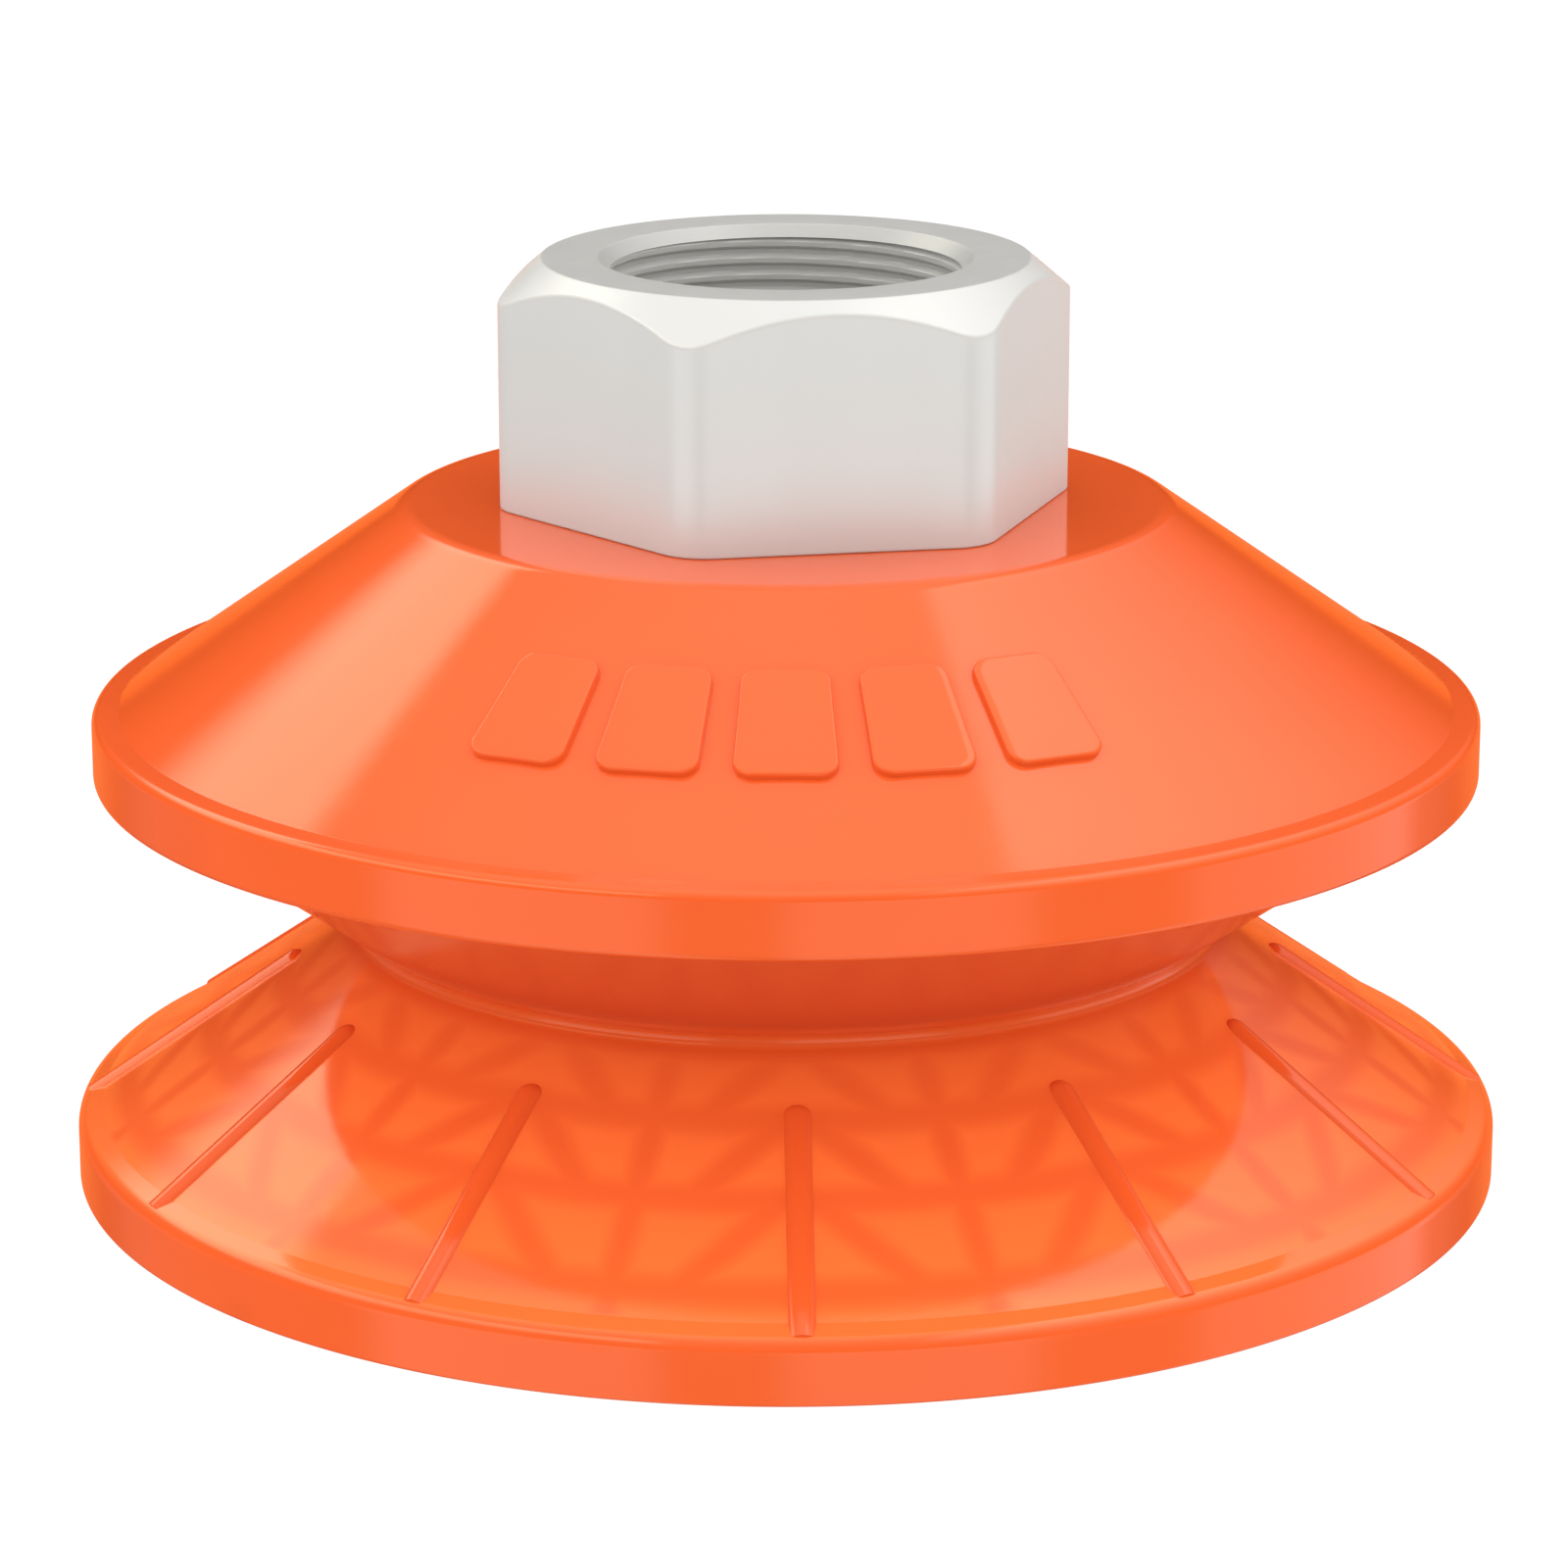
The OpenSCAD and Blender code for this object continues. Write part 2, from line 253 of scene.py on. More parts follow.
def on_cone(surface, slope, r, turn, height):
    """A point height above a cone's outside, where surface gives the cone's height at a radius."""
    lift_r = height * math.sin(slope)
    lift_z = height * math.cos(slope)
    return np.array(((r + lift_r) * math.cos(turn), (r + lift_r) * math.sin(turn),
                     surface(r) + lift_z))


# ---------------------------------------------------------------- the moulding

# Where the cones meet the underside of the upper rim, and where they meet inside the rim
UNDER_R = WAIST_R + (UPPER_RIM_UNDER - WAIST_Z) / math.tan(INNER_SLOPE)
INNER_GAP = COLLAR_TOP - BELLOWS_WALL / math.cos(UPPER_SLOPE) - inner_inside(SHOULDER_R)
CAVITY_R = SHOULDER_R + INNER_GAP / (math.tan(UPPER_SLOPE) + math.tan(INNER_SLOPE))
CAVITY_Z = upper_inside(CAVITY_R)

# The waist's throat, and heights just below and above the waist
THROAT_DEPTH = BELLOWS_WALL / math.cos(INNER_SLOPE) + LIP_WALL / math.cos(LOWER_SLOPE)
THROAT_R = WAIST_R - THROAT_DEPTH / (math.tan(INNER_SLOPE) + math.tan(LOWER_SLOPE))
WAIST_UNDER = WAIST_Z - 0.05
WAIST_TOP = WAIST_Z + 0.2


def waist_arc(corner_r, corner_z, radius, upper):
    """Half of a rounding between the two cones at the waist, from its middle to the upper or lower cone."""
    bisector = (INNER_SLOPE - LOWER_SLOPE) / 2
    reach = radius / math.sin((INNER_SLOPE + LOWER_SLOPE) / 2)
    centre_r = corner_r + reach * math.cos(bisector)
    centre_z = corner_z + reach * math.sin(bisector)
    end = math.pi / 2 + INNER_SLOPE if upper else 3 * math.pi / 2 - LOWER_SLOPE
    turns = np.linspace(math.pi, end, 13)
    points = [(centre_r + radius * math.cos(t), centre_z + radius * math.sin(t)) for t in turns]
    guard = GUARD if upper else -GUARD
    return [points[0], (points[0][0], points[0][1] + guard / 2), *points[1:]]


def make_upper_skin():
    """Collar, upper cone and upper rim."""
    return lathe("cup_upper_fold", rounded([
        (COLLAR_HOLE_R, COLLAR_TOP), (COLLAR_HOLE_R, COLLAR_UNDER),
        (SHOULDER_R + 1.2, COLLAR_UNDER, 0.5), (CAVITY_R, CAVITY_Z), (UNDER_R, UPPER_RIM_UNDER),
        (UPPER_RIM_R, UPPER_RIM_UNDER, UPPER_RIM_UNDER_ROUND),
        (UPPER_RIM_R, upper_outside(UPPER_CREASE_R) - UPPER_CREASE_DEPTH, UPPER_RIM_ROUND),
        (UPPER_CREASE_R, upper_outside(UPPER_CREASE_R), 0.12),
        (SHOULDER_R, COLLAR_TOP, SHOULDER_ROUND)]))


def make_middle_skin():
    """Cone that runs back in under the upper rim, down to the waist."""
    groove = waist_arc(WAIST_R, WAIST_Z, WAIST_ROUND, True)
    throat = waist_arc(THROAT_R, inner_inside(THROAT_R), THROAT_ROUND, True)
    return lathe("cup_inner_fold", rounded([
        *groove, (UNDER_R, UPPER_RIM_UNDER), (CAVITY_R, CAVITY_Z), *reversed(throat)]))


def make_lower_skin():
    """Lower cone and lip."""
    groove = waist_arc(WAIST_R, WAIST_Z, WAIST_ROUND, False)
    throat = waist_arc(THROAT_R, inner_inside(THROAT_R), THROAT_ROUND, False)
    return lathe("cup_lip_fold", rounded([
        *throat, (LIP_EDGE_R, lower_inside(LIP_EDGE_R)),
        (SEAL_INNER_R, 0, SEAL_ROUND), (LIP_R, 0, SEAL_ROUND),
        (LIP_R, LIP_CORNER_Z, LIP_ROUND), LIP_BEVEL,
        (LIP_CREASE_R, lower_outside(LIP_CREASE_R), 0.08),
        *reversed(groove)]))


def make_ribs():
    """Ribs with round backs: a grid over each rib's foot, closed by a flat sole sunk in the cone."""
    half = RIB_WIDTH / 2
    back = (half ** 2 + RIB_HEIGHT ** 2) / (2 * RIB_HEIGHT)
    length = (RIB_END_R - RIB_START_R) / math.cos(LOWER_SLOPE)
    along = np.concatenate([half * (1 - np.cos(np.linspace(0, math.pi / 2, 9)))[1:],
                            np.linspace(half, length, 34)[1:]])
    across = np.sin(np.linspace(-math.pi / 2, math.pi / 2, 15))
    sole = 0.35
    points, faces = [], []
    for k in range(SECTORS):
        turn = RIB_TURN + k * SECTOR
        start = len(points)
        for u in along:
            width = math.sqrt(max(0.0, half ** 2 - max(0.0, half - u) ** 2))
            r = RIB_START_R + u * math.cos(LOWER_SLOPE)
            for v in across * width:
                reach = math.hypot(v, max(0.0, half - u))
                rise = math.sqrt(back ** 2 - reach ** 2) - (back - RIB_HEIGHT)
                points.append(on_cone(lower_outside, LOWER_SLOPE, r, turn + v / r, rise))
            for v in (width, -width):
                points.append(on_cone(lower_outside, LOWER_SLOPE, r, turn + v / r, -sole))
        ring = len(across) + 2
        for i in range(len(along) - 1):
            for j in range(ring):
                a, b = start + i * ring + j, start + i * ring + (j + 1) % ring
                faces.append((a, a + ring, b + ring, b))
        faces.append(tuple(start + j for j in range(ring)))
        last = start + (len(along) - 1) * ring
        faces.append(tuple(last + j for j in reversed(range(ring))))
    return add_object("outer_ribs", points, faces, 50)


def cleat_rise(r, turn):
    """How far a cleat stands out at each radius and turn: 1 on a cleat, 0 between, rounded at the edges."""
    fold = np.abs((turn - RIB_TURN + SECTOR / 2) % SECTOR - SECTOR / 2)
    distance = np.minimum.reduce([np.abs(r - ring) for ring in CLEAT_RINGS])
    bar = np.maximum(r * np.abs(np.sin(SECTOR / 2 - fold)), r - CLEAT_RINGS[-1])
    distance = np.minimum(distance, bar)
    for low, high in zip((CLEAT_THROAT_R - 0.4, *CLEAT_RINGS[:-1]), CLEAT_RINGS):
        share = (r - low) / (high - low)
        lean = (CLEAT_FOOT - CLEAT_HEAD) * (low + high) / 2 / (high - low)
        arm = r * np.abs(fold - CLEAT_HEAD - (CLEAT_FOOT - CLEAT_HEAD) * share)
        inside = (share > 0) & (share < 1)
        distance = np.where(inside, np.minimum(distance, arm / math.hypot(1, lean)), distance)
    edge = 0.12
    rise = np.clip((CLEAT_WIDTH / 2 + edge - distance) / (2 * edge), 0, 1)
    return rise * rise * (3 - 2 * rise)


def make_cleats():
    """The cleats' underside as one relief, closed by a skin inside the lower cone."""
    columns = SECTORS * 64
    hidden = 0.1
    depth = 0.7
    relief = np.linspace(CLEAT_THROAT_R, LIP_EDGE_R - 0.3, 122)
    inside = np.linspace(LIP_EDGE_R - 0.3, CLEAT_THROAT_R, 8)
    turns = np.linspace(0, 2 * math.pi, columns, endpoint=False)
    r, turn = np.meshgrid(np.concatenate([relief, inside]), turns)
    rise = cleat_rise(r, turn) * (CLEAT_HEIGHT + hidden) - hidden
    rise[:, len(relief):] = -depth
    z = np.array([lower_inside(x) for x in r[0]]) - rise / math.cos(LOWER_SLOPE)
    points = np.stack([r * np.cos(turn), r * np.sin(turn), z], -1).reshape(-1, 3)
    return add_object("grip_cleats", points, closed_grid(columns, r.shape[1]), 40)


def rounded_rectangle(width, length, corner, inset):
    """Outline of a rounded rectangle, drawn in by inset."""
    radius = max(corner - inset, 0.05)
    points = []
    for k, (sx, sy) in enumerate([(1, 1), (-1, 1), (-1, -1), (1, -1)]):
        cx = sx * (width / 2 - inset - radius)
        cy = sy * (length / 2 - inset - radius)
        for t in np.linspace(k * math.pi / 2, (k + 1) * math.pi / 2, 9):
            points.append((cx + radius * math.cos(t), cy + radius * math.sin(t)))
    return points


def make_tiles():
    """Plain raised tiles with soft edges, bent to the cone."""
    edge = 0.14
    turns = np.linspace(0, math.pi / 2, 6)
    rings = [(-0.05, -0.3), (0.0, TILE_HEIGHT - edge)]
    rings += [(edge * (1 - math.cos(t)), TILE_HEIGHT - edge * (1 - math.sin(t))) for t in turns[1:]]
    rings += [(inset, TILE_HEIGHT) for inset in (0.4, 0.9, 1.5, 1.9)]
    points, faces = [], []
    for k in range(TILE_COUNT):
        middle = FRONT + (k - (TILE_COUNT - 1) / 2) * TILE_STEP
        start = len(points)
        for inset, height in rings:
            outline = rounded_rectangle(TILE_WIDTH, TILE_LENGTH, TILE_CORNER, inset)
            for across, along in outline:
                r = TILE_R - along * math.cos(UPPER_SLOPE)
                turn = middle + across / TILE_R
                points.append(on_cone(upper_outside, UPPER_SLOPE, r, turn, height))
        count = len(outline)
        for i in range(len(rings) - 1):
            for j in range(count):
                a, b = start + i * count + j, start + i * count + (j + 1) % count
                faces.append((a, b, b + count, a + count))
        faces.append(tuple(start + j for j in reversed(range(count))))
        last = start + (len(rings) - 1) * count
        faces.append(tuple(last + j for j in range(count)))
    return add_object("blank_tiles", points, faces, 50)


# ---------------------------------------------------------------- the fitting

def hexagon_radius(turn):
    """Radius of the rounded hexagon at a turn from one of its corners."""
    core = (HEX_FLATS - 2 * HEX_CORNER) / math.sqrt(3)
    from_corner = (turn + math.pi / 6) % (math.pi / 3) - math.pi / 6
    from_flat = math.pi / 6 - abs(from_corner)
    if HEX_FLATS / 2 * math.tan(from_flat) <= core / 2:
        return HEX_FLATS / 2 / math.cos(from_flat)
    offset = core * math.sin(from_corner)
    return core * math.cos(from_corner) + math.sqrt(HEX_CORNER ** 2 - offset ** 2)


def hexagon_turns():
    """Turns of the columns from a corner, closer together round the corners."""
    core = (HEX_FLATS - 2 * HEX_CORNER) / math.sqrt(3)
    bend = math.pi / 6 - math.atan(core / HEX_FLATS)
    one = np.concatenate([np.linspace(-bend, bend, 13), np.linspace(bend, math.pi / 3 - bend, 21)[1:-1]])
    return np.concatenate([one + k * math.pi / 3 for k in range(6)])


def thread_groove(turn, z):
    """How deep the thread is cut at a turn and height: a helical groove that fades out at the lower end."""
    top = HEX_TOP - (MOUTH_R - THREAD_MINOR_R)
    phase = (z / THREAD_PITCH - turn / (2 * math.pi)) % 1.0
    groove = np.clip(0.5 + 5 * (0.25 - np.abs(phase - 0.5)), 0, 1)
    fade = np.clip((top - z) / 0.05, 0, 1) * np.clip((z - THREAD_END) / 1.2, 0, 1)
    return THREAD_CUT * groove * fade


def fitting_outline(hex_r):
    """Half-section of the fitting where the hexagon's radius is hex_r."""
    countersink = MOUTH_R - THREAD_MINOR_R
    crown_z = HEX_TOP - (hex_r - CROWN_R) * math.tan(CROWN_SLOPE)
    seat_r, groove_r, passage_r = FILTER_R + 0.1, FILTER_R + 0.7, 6.0
    groove_top = FILTER_TOP - 0.55
    groove_under = groove_top - 0.8
    return [
        (hex_r, COLLAR_TOP, 0.12), (hex_r, crown_z, 0.3), (CROWN_R, HEX_TOP, 0.2),
        (MOUTH_R, HEX_TOP, 0.15), (THREAD_MINOR_R, HEX_TOP - countersink),
        (THREAD_MINOR_R, THREAD_END), (passage_r, THREAD_END), (passage_r, FILTER_TOP),
        (seat_r, FILTER_TOP), (seat_r, groove_top), (groove_r, groove_top),
        (groove_r, groove_under), (seat_r, groove_under), (seat_r, BARB_UNDER, 0.15),
        (BARB_R - 1.3, BARB_UNDER, 0.15), (BARB_R, BARB_UNDER + 1.3, 0.3),
        (BARB_R, COLLAR_UNDER, 0.1), (COLLAR_HOLE_R, COLLAR_UNDER), (COLLAR_HOLE_R, COLLAR_TOP)]


def sampled(corners, thread_rows):
    """Points of one column of the fitting, with the same number of points whatever its corners are."""
    points = []
    for i, corner in enumerate(corners):
        if len(corner) > 2:
            points += arc_at(corner, corners[i - 1], corners[(i + 1) % len(corners)], corner[2])
        else:
            points.append(np.array(corner, float))
        if corner[:2] == (THREAD_MINOR_R, HEX_TOP - (MOUTH_R - THREAD_MINOR_R)):
            rows = np.linspace(corner[1], THREAD_END, thread_rows + 2)[1:-1]
            points += [np.array((THREAD_MINOR_R, z)) for z in rows]
    return np.array(points)


def make_fitting():
    turns = hexagon_turns()
    thread_rows = round((HEX_TOP - THREAD_END) / THREAD_PITCH * 16)
    columns = []
    for turn in turns:
        column = sampled(fitting_outline(hexagon_radius(turn)), thread_rows)
        bored = (np.abs(column[:, 0] - THREAD_MINOR_R) < 1e-6)
        column[:, 0] += np.where(bored, thread_groove(turn, column[:, 1]), 0)
        x = column[:, 0] * math.cos(turn + HEX_TURN)
        y = column[:, 0] * math.sin(turn + HEX_TURN)
        columns.append(np.stack([x, y, column[:, 1]], -1))
    points = np.array(columns)
    faces = closed_grid(len(turns), points.shape[1])
    return add_object("hexagon_fitting", points.reshape(-1, 3), faces, 30)


def tube(points, faces, path, radius, sides=8):
    """Adds a closed wire along a path that runs level with the x or y axis."""
    start = len(points)
    path = np.array(path)
    direction = path[-1] - path[0]
    side = np.cross(direction / np.linalg.norm(direction), (0, 0, 1))
    for p in path:
        for k in range(sides):
            t = 2 * math.pi * k / sides
            points.append(p + radius * (side * math.cos(t) + np.array((0, 0, 1)) * math.sin(t)))
    for i in range(len(path) - 1):
        for k in range(sides):
            a, b = start + i * sides + k, start + i * sides + (k + 1) % sides
            faces.append((a, b, b + sides, a + sides))
    faces.append(tuple(start + k for k in reversed(range(sides))))
    faces.append(tuple(start + (len(path) - 1) * sides + k for k in range(sides)))


def make_filter_weave():
    """Woven wires, each over one and under the next."""
    points, faces = [], []
    level = FILTER_TOP - 0.25
    count = int(FILTER_R / FILTER_PITCH)
    for i in range(-count, count + 1):
        offset = i * FILTER_PITCH
        reach = math.sqrt((FILTER_R - 0.25) ** 2 - offset ** 2)
        for along_x in (True, False):
            path = []
            for s in np.linspace(-reach, reach, 61):
                wave = math.cos(math.pi * (s / FILTER_PITCH + i)) * WEAVE
                z = level + (wave if along_x else -wave)
                path.append((s, offset, z) if along_x else (offset, s, z))
            tube(points, faces, path, WIRE_R)
    return add_object("filter_weave", points, faces, 60)


def make_filter_hoop():
    low = FILTER_TOP - 0.5
    return lathe("filter_hoop", rounded([
        (FILTER_R - 0.5, low, 0.1), (FILTER_R, low, 0.1), (FILTER_R, FILTER_TOP, 0.1),
        (FILTER_R - 0.5, FILTER_TOP, 0.1)], 0.3), 144)


# ---------------------------------------------------------------- materials

class Field:
    """A number in a material's node tree, so that formulas can be written out."""

    def __init__(self, tree, socket):
        self.tree = tree
        self.socket = socket

    def math(self, operation, *others):
        node = self.tree.nodes.new("ShaderNodeMath")
        node.operation = operation
        for place, value in enumerate((self, *others)):
            if isinstance(value, Field):
                self.tree.links.new(value.socket, node.inputs[place])
            else:
                node.inputs[place].default_value = value
        return Field(self.tree, node.outputs[0])

    def __add__(self, other):
        return self.math("ADD", other)

    def __sub__(self, other):
        return self.math("SUBTRACT", other)

    def __mul__(self, other):
        return self.math("MULTIPLY", other)

    def __truediv__(self, other):
        return self.math("DIVIDE", other)

    def step(self, low, high, start=0.0, end=1.0):
        """Goes smoothly from start to end as this number goes from low to high."""
        node = self.tree.nodes.new("ShaderNodeMapRange")
        node.interpolation_type = "SMOOTHSTEP"
        self.tree.links.new(self.socket, node.inputs["Value"])
        for name, value in zip(("From Min", "From Max", "To Min", "To Max"), (low, high, start, end)):
            node.inputs[name].default_value = value
        return Field(self.tree, node.outputs["Result"])


class Material:
    """A principled material whose inputs are fed by procedural nodes in the object's own coordinates."""

    def __init__(self, name):
        self.material = bpy.data.materials.new(name)
        self.material.use_nodes = True
        self.tree = self.material.node_tree
        self.shader = self.tree.nodes["Principled BSDF"]
        self.where = self.tree.nodes.new("ShaderNodeTexCoord").outputs["Object"]

    def set(self, **values):
        for name, value in values.items():
            self.shader.inputs[name.replace("_", " ")].default_value = value

    def axes(self):
        node = self.tree.nodes.new("ShaderNodeSeparateXYZ")
        self.tree.links.new(self.where, node.inputs[0])
        return [Field(self.tree, output) for output in node.outputs]

    def noise(self, scale, detail=3.0, stretch=(1, 1, 1)):
        mapping = self.tree.nodes.new("ShaderNodeMapping")
        mapping.inputs["Scale"].default_value = stretch
        self.tree.links.new(self.where, mapping.inputs["Vector"])
        node = self.tree.nodes.new("ShaderNodeTexNoise")
        node.inputs["Scale"].default_value = scale
        node.inputs["Detail"].default_value = detail
        self.tree.links.new(mapping.outputs[0], node.inputs["Vector"])
        return Field(self.tree, node.outputs["Fac"])

    def mix(self, factor, first, second):
        node = self.tree.nodes.new("ShaderNodeMix")
        node.data_type = "RGBA"
        self.tree.links.new(factor.socket, node.inputs["Factor"])
        for place, colour in ((6, first), (7, second)):
            if isinstance(colour, tuple):
                node.inputs[place].default_value = (*colour, 1)
            else:
                self.tree.links.new(colour, node.inputs[place])
        return node.outputs[2]

    def colour(self, socket):
        self.tree.links.new(socket, self.shader.inputs["Base Color"])

    def roughness(self, field):
        self.tree.links.new(field.socket, self.shader.inputs["Roughness"])

    def bump(self, field, distance, strength=1.0):
        node = self.tree.nodes.new("ShaderNodeBump")
        node.inputs["Distance"].default_value = distance
        node.inputs["Strength"].default_value = strength
        self.tree.links.new(field.socket, node.inputs["Height"])
        self.tree.links.new(node.outputs[0], self.shader.inputs["Normal"])


def polyurethane(name, through=False):
    """Glossy orange polyurethane. Without through, the cone under the upper rim is painted darker, as
    shade. With through, the lower cone is painted lighter, as if light came through it, with painted shade
    over the cleats inside.
    """
    m = Material(name)
    cloud = m.noise(90, 2.0).step(0.3, 0.7)
    base = m.mix(cloud, (0.77, 0.102, 0.0200), (0.79, 0.107, 0.0212))
    if through:
        # Painted glow: the lower cone is coloured lighter, as if lit through the wall
        glow = painted_glow(m)
        glow_colour = m.mix(glow, base, (0.92, 0.172, 0.036))
        # Painted shade over the cleats: less of the painted glow where they lie behind the wall
        shaded_cleat_colour = m.mix(glow, base, (0.80, 0.112, 0.024))
        base = m.mix(painted_cleat_shade(m), glow_colour, shaded_cleat_colour)
    else:
        # Painted shade: the cone under the upper rim is coloured darker
        base = m.mix(painted_fold_shade(m), base, (0.63, 0.088, 0.026))
    m.colour(base)
    m.roughness(m.noise(400, 3.0).step(0.2, 0.8, 0.075, 0.115))
    m.bump(m.noise(1500, 2.0), 0.00001, 0.25)
    m.set(IOR=1.5, Specular_Tint=(1.0, 0.95, 0.75, 1))
    return m.material


def painted_fold_shade(m):
    """1 on the cone that runs back in under the upper rim, which is painted darker as shade in the fold, 0
    elsewhere.
    """
    x, y, z = m.axes()
    r = (x * x + y * y).math("SQRT") / MM
    above = z / MM - ((r - WAIST_R) * math.tan(INNER_SLOPE) + WAIST_Z)
    on_cone_band = above.math("ABSOLUTE").step(0.05, 0.3, 1, 0)
    start = r.step(WAIST_EDGE_R - 0.6, WAIST_EDGE_R + 0.2)
    return on_cone_band * start * r.step(UNDER_R - 0.5, UNDER_R - 0.2, 1, 0)


def painted_glow(m):
    """1 on the lower cone and on the bevel of the lip, which are painted lighter, as a glow of light coming
    through the wall, 0 elsewhere.
    """
    x, y, _ = m.axes()
    r = (x * x + y * y).math("SQRT") / MM
    return r.step(WAIST_R + 0.4, WAIST_R + 1.2) * r.step(LIP_R - 0.5, LIP_R - 0.1, 1, 0)


def painted_cleat_shade(m):
    """1 on the soft dark lines of painted shade that stand for the cleats inside, 0 between them."""
    x, y, _ = m.axes()
    r = (x * x + y * y).math("SQRT") / MM
    turn = y.math("ARCTAN2", x) - (RIB_TURN - SECTOR / 2)
    fold = (turn.math("FLOORED_MODULO", SECTOR) - SECTOR / 2).math("ABSOLUTE")
    distance = ((fold - SECTOR / 2).math("SINE") * r).math("ABSOLUTE")
    for ring in SHADOW_RINGS:
        distance = distance.math("SMOOTH_MIN", (r - ring).math("ABSOLUTE"), 0.3)
    for low, high in zip(SHADOW_RINGS[:-1], SHADOW_RINGS[1:]):
        share = (r - low) / (high - low)
        lean = (CLEAT_FOOT - CLEAT_HEAD) * (low + high) / 2 / (high - low)
        centre = share * (CLEAT_FOOT - CLEAT_HEAD) + CLEAT_HEAD
        outside = (share - 0.5).math("ABSOLUTE").step(0.5, 0.51, 0, 10)
        arm = ((fold - centre).math("ABSOLUTE") * r) / math.hypot(1, lean) + outside
        distance = distance.math("SMOOTH_MIN", arm, 0.3)
    blur = 0.5
    cleat = distance.step(CLEAT_WIDTH / 2 - blur, CLEAT_WIDTH / 2 + blur, 1, 0)
    return cleat * r.step(WAIST_R, 26, 0.45, 0.8) * r.step(LIP_CREASE_R - 0.2, LIP_CREASE_R + 0.1, 1, 0)


def satin_aluminium():
    """Milled flats with fine upright lines, a brighter crown, and a turned face and bore painted darker, as
    shade.
    """
    m = Material("satin_aluminium")
    x, y, z = m.axes()
    r = (x * x + y * y).math("SQRT") / MM
    z = z / MM
    under_crown = z + (r - CROWN_R) * math.tan(CROWN_SLOPE) - HEX_TOP
    cloud = m.noise(60, 3.0).step(0.3, 0.7)
    base = m.mix(cloud, (0.590, 0.620, 0.603), (0.610, 0.640, 0.623))
    base = m.mix(under_crown.step(-0.25, -0.05), base, (0.612, 0.607, 0.584))
    # Painted shade: the top face inside the crown and the bore are coloured darker
    base = m.mix(r.step(CROWN_R - 0.1, CROWN_R + 0.1, 1, 0), base, (0.480, 0.475, 0.455))
    base = m.mix(r.step(MOUTH_R - 0.1, MOUTH_R + 0.05, 1, 0), base, (0.450, 0.445, 0.425))
    m.colour(base)
    lines = m.noise(900, 2.0, (1, 1, 0.02))
    m.roughness(lines.step(0.2, 0.8, 0.34, 0.40))
    m.bump(lines, 0.00001, 0.12)
    m.set(Metallic=0.15)
    return m.material


def wire_steel():
    m = Material("stainless_wire")
    grain = m.noise(3000, 3.0)
    m.colour(m.mix(grain.step(0.3, 0.7), (0.50, 0.50, 0.49), (0.60, 0.60, 0.58)))
    m.roughness(grain.step(0.2, 0.8, 0.25, 0.38))
    m.set(Metallic=1.0)
    return m.material


def spring_steel():
    m = Material("phosphated_spring_steel")
    grain = m.noise(2500, 4.0)
    m.colour(m.mix(grain.step(0.3, 0.7), (0.055, 0.055, 0.06), (0.11, 0.11, 0.115)))
    m.roughness(grain.step(0.2, 0.8, 0.4, 0.55))
    m.bump(grain, 0.00001, 0.3)
    m.set(Metallic=0.9)
    return m.material


# ---------------------------------------------------------------- putting it together

def height(z):
    return (0, 0, z * MM)


CUP = polyurethane("orange_polyurethane")
LIP = polyurethane("orange_polyurethane_lip", through=True)


def finish_piece(piece, material, slot, *nodes):
    piece.data.materials.append(material)
    if nodes:
        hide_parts(*nodes)
    return piece


def build_cup():
    """The cup's skins, each ending where its neighbour begins, with their tiles, ribs and cleats."""
    upper = finish_piece(make_upper_skin(), CUP, "cup_polyurethane",
                         "collar", "upper_wall", "upper_rim")
    tiles = finish_piece(make_tiles(), CUP, "cup_polyurethane", "raised_tiles")
    for piece in (upper, tiles):
        height(COLLAR_TOP)
        height(upper_outside(UPPER_CREASE_R))
        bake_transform(piece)
    middle = finish_piece(make_middle_skin(), CUP, "cup_polyurethane", "inner_wall", "waist_ring")
    height(UPPER_RIM_UNDER)
    height(WAIST_TOP)
    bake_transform(middle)
    lower = finish_piece(make_lower_skin(), LIP, "lip_polyurethane", "lower_wall", "lip_rim")
    ribs = finish_piece(make_ribs(), CUP, "lip_polyurethane", "lip_ribs")
    cleats = finish_piece(make_cleats(), CUP, "lip_polyurethane", "friction_cleats")
    for piece in (lower, ribs, cleats):
        height(WAIST_UNDER)
        height(lower_outside(LIP_CREASE_R))
        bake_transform(piece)


def build_fitting():
    aluminium = satin_aluminium()
    steel = wire_steel()
    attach(finish_piece(make_fitting(), aluminium, "fitting_aluminium", "hex_fitting"), "head")
    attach(finish_piece(make_filter_weave(), steel, "filter_wire", "filter_mesh"), "head")
    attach(finish_piece(make_filter_hoop(), steel, "filter_wire"), "head")
    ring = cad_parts["filter_snap_ring"]
    ring.data.materials.clear()
    ring.data.materials.append(spring_steel())


# ---------------------------------------------------------------- floor, light and camera

def by_ray(tree, seen, mirrored, scattered):
    """One brightness for the camera, one for reflections and one for soft light."""
    path = tree.nodes.new("ShaderNodeLightPath")
    camera = Field(tree, path.outputs["Is Camera Ray"])
    glossy = Field(tree, path.outputs["Is Glossy Ray"])
    other = glossy * mirrored + (glossy * -1.0 + 1.0) * scattered
    return other + camera * (other * -1.0 + seen)


def low_panels(x, y, z):
    """Upright panels below the horizon round the front, over a dim ground, with little from behind."""
    round_front = x.math("ARCTAN2", y * -1.0) * math.degrees(1)
    edge = 6
    panels = 0.2
    for start, end, level in ((-68, -20, 1.0), (0, 40, 1.0), (68, 122, 0.8)):
        rise = round_front.step(start - edge, start + edge)
        fall = round_front.step(end - edge, end + edge, level, 0)
        panels = rise * fall + panels
    behind = round_front.math("ABSOLUTE").step(125, 145, 1, 0.15)
    return panels * behind * z.step(-0.1, 0.0, 1, 0)


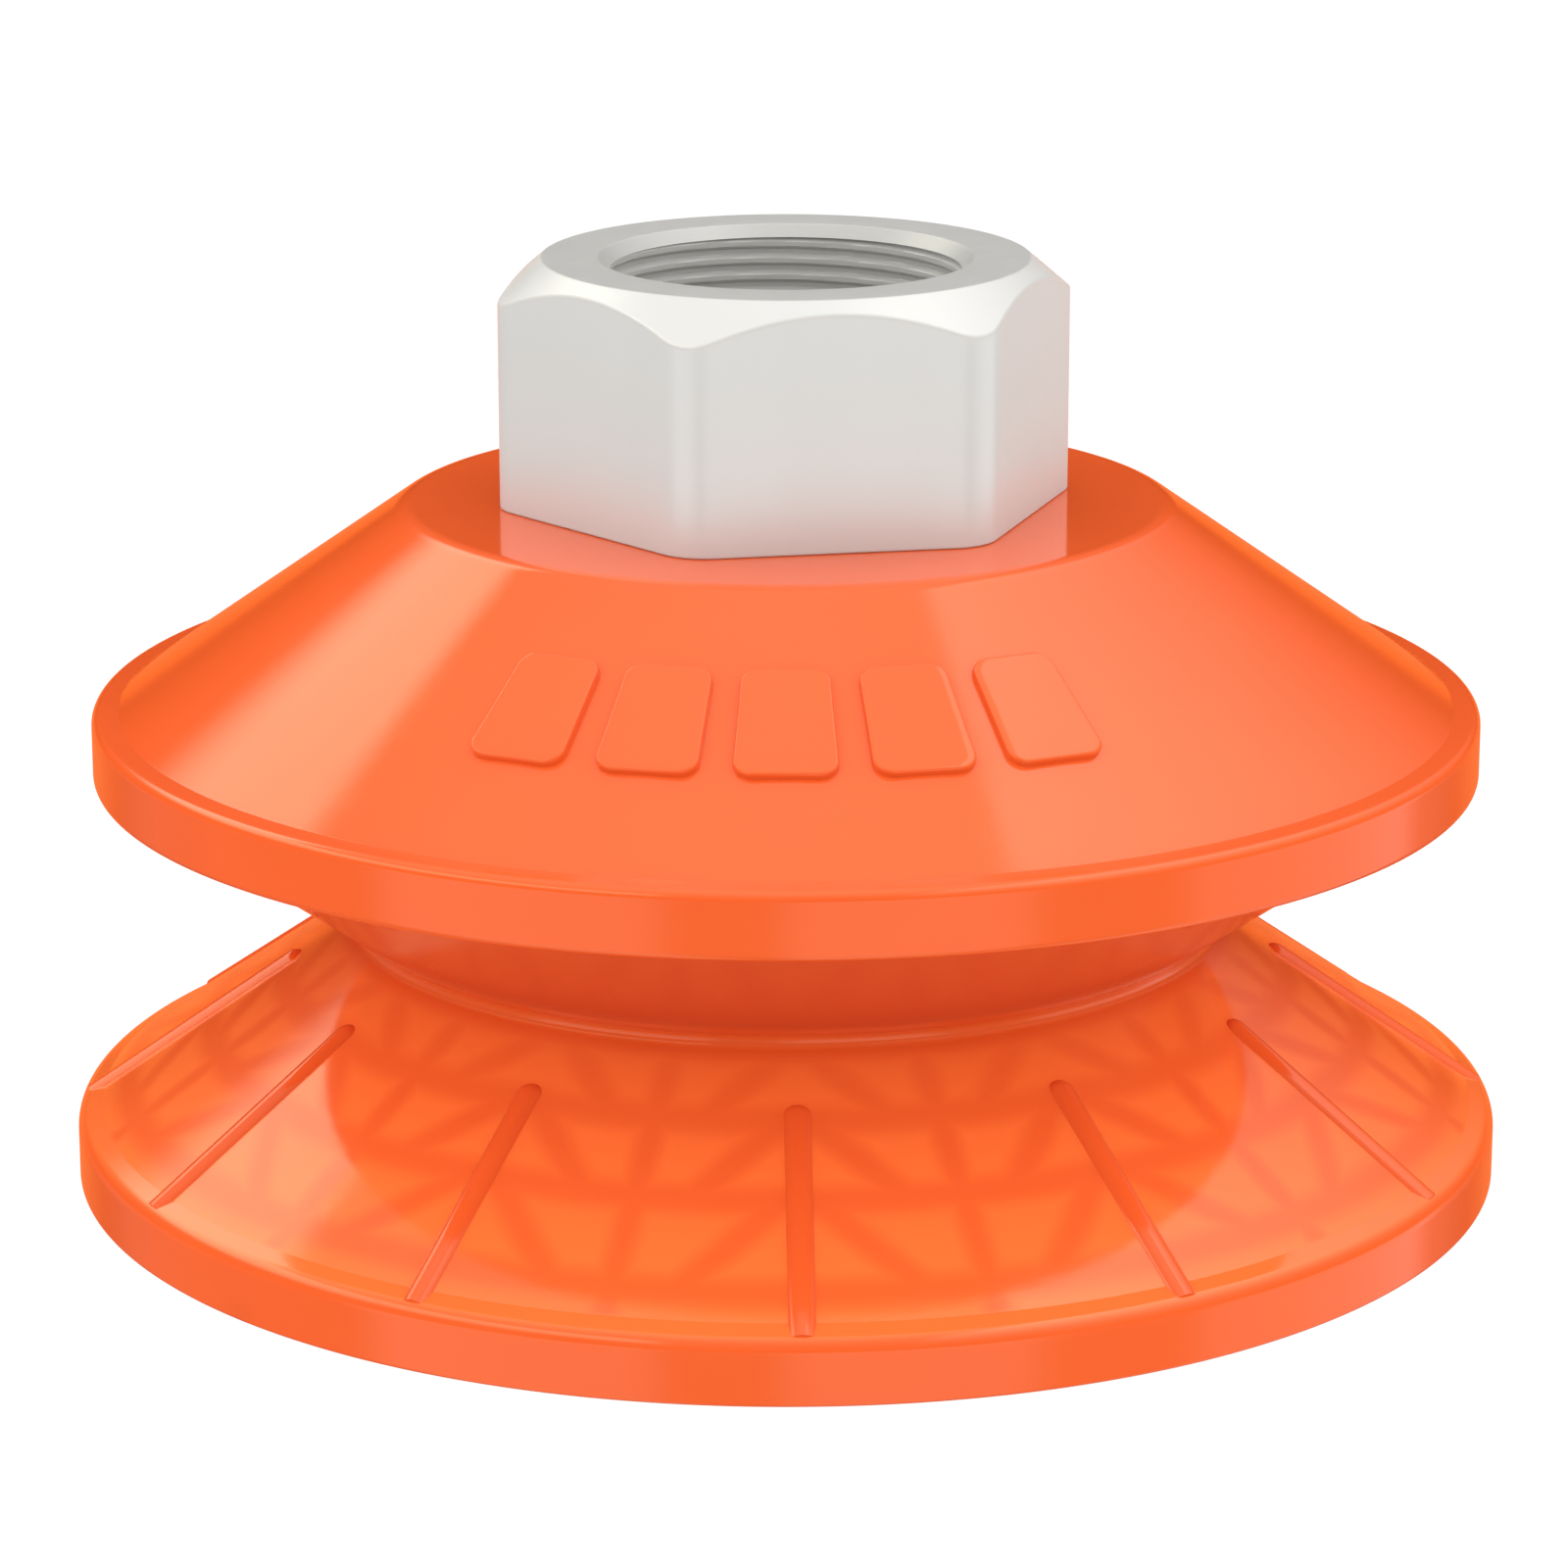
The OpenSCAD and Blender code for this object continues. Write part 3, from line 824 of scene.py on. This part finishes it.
def build_world():
    """A white studio. Reflections see other light than the camera and the matt surfaces do."""
    scene = bpy.context.scene
    scene.view_settings.view_transform = "Standard"
    world = bpy.data.worlds.new("studio")
    scene.world = world
    world.use_nodes = True
    world.cycles.sampling_method = "NONE"
    tree = world.node_tree
    tree.nodes.clear()
    where = tree.nodes.new("ShaderNodeTexCoord")
    split = tree.nodes.new("ShaderNodeSeparateXYZ")
    tree.links.new(where.outputs["Generated"], split.inputs[0])
    x, y, z = (Field(tree, output) for output in split.outputs)
    up = z.math("MAXIMUM", 0.0)

    # Overhead, in reflections: dim, and bright from a sharp edge on the right
    ceiling = up.math("POWER", 3.0) * 1.3
    right = up.math("POWER", 2.5) * 3.3
    overhead = ceiling + (right - ceiling) * x.step(0.285, 0.315)

    # A softbox high on the left and a warm card low behind the object, in reflections only
    height_band = up.step(0.35, 0.53) * up.step(0.70, 0.75, 1, 0)
    left = (up * 2.6 + 1.0) * height_band * x.step(-0.35, -0.25, 1, 0)
    card = y.step(0.65, 0.92, 0, 0.95) * z.step(-0.02, 0.1, 1, 0)

    # Soft light from above, with more from both sides
    sides = x.math("ABSOLUTE").step(0.3, 1.0, 0, 1.2) * up.step(0.0, 0.8, 1, 0)
    soft = up.step(0.0, 0.5, 0.6, 1.58) + sides

    add_light(tree, [
        ((1, 1, 1), by_ray(tree, 1.0, overhead + low_panels(x, y, z), soft)),
        ((1, 0.97, 0.78), by_ray(tree, 0.0, left, 0.0)),
        ((1, 0.2, 0.03), by_ray(tree, 0.0, card, 0.0))])


def add_light(tree, parts):
    """Sums the parts of the studio's light, each a colour and a brightness."""
    total = None
    for colour, strength in parts:
        background = tree.nodes.new("ShaderNodeBackground")
        background.inputs["Color"].default_value = (*colour, 1)
        tree.links.new(strength.socket, background.inputs["Strength"])
        if total is not None:
            both = tree.nodes.new("ShaderNodeAddShader")
            tree.links.new(total, both.inputs[0])
            tree.links.new(background.outputs[0], both.inputs[1])
            background = both
        total = background.outputs[0]
    output = tree.nodes.new("ShaderNodeOutputWorld")
    tree.links.new(total, output.inputs[0])


def build_floor():
    size = 3.0
    mesh = bpy.data.meshes.new("floor")
    corners = [(-size, -size, 0), (size, -size, 0), (size, size, 0), (-size, size, 0)]
    mesh.from_pydata(corners, [], [(0, 1, 2, 3)])
    floor = bpy.data.objects.new("floor", mesh)
    bpy.context.scene.collection.objects.link(floor)
    m = Material("white_floor")
    grain = m.noise(8, 2.0)
    m.colour(m.mix(grain, (0.05, 0.05, 0.05), (0.06, 0.06, 0.06)))
    m.set(Roughness=1.0, Specular_IOR_Level=0.0, Emission_Color=(1, 1, 1, 1), Emission_Strength=0.96)
    floor.visible_glossy = False
    floor.data.materials.append(m.material)


def build_camera():
    """A long lens in front of the object, looking slightly down."""
    data = bpy.data.cameras.new("camera")
    data.lens = 126.0
    data.sensor_width = 36.0
    data.clip_start = 0.01
    data.clip_end = 20
    camera = bpy.data.objects.new("camera", data)
    bpy.context.scene.collection.objects.link(camera)
    place = (-0.09, -251.3, 88.3)
    dip = 15.617
    camera.location = [c * MM for c in place]
    camera.rotation_euler = (math.radians(90 - dip), 0, 0)
    bpy.context.scene.camera = camera


build_camera()
build_world()
build_floor()
build_cup()
build_fitting()
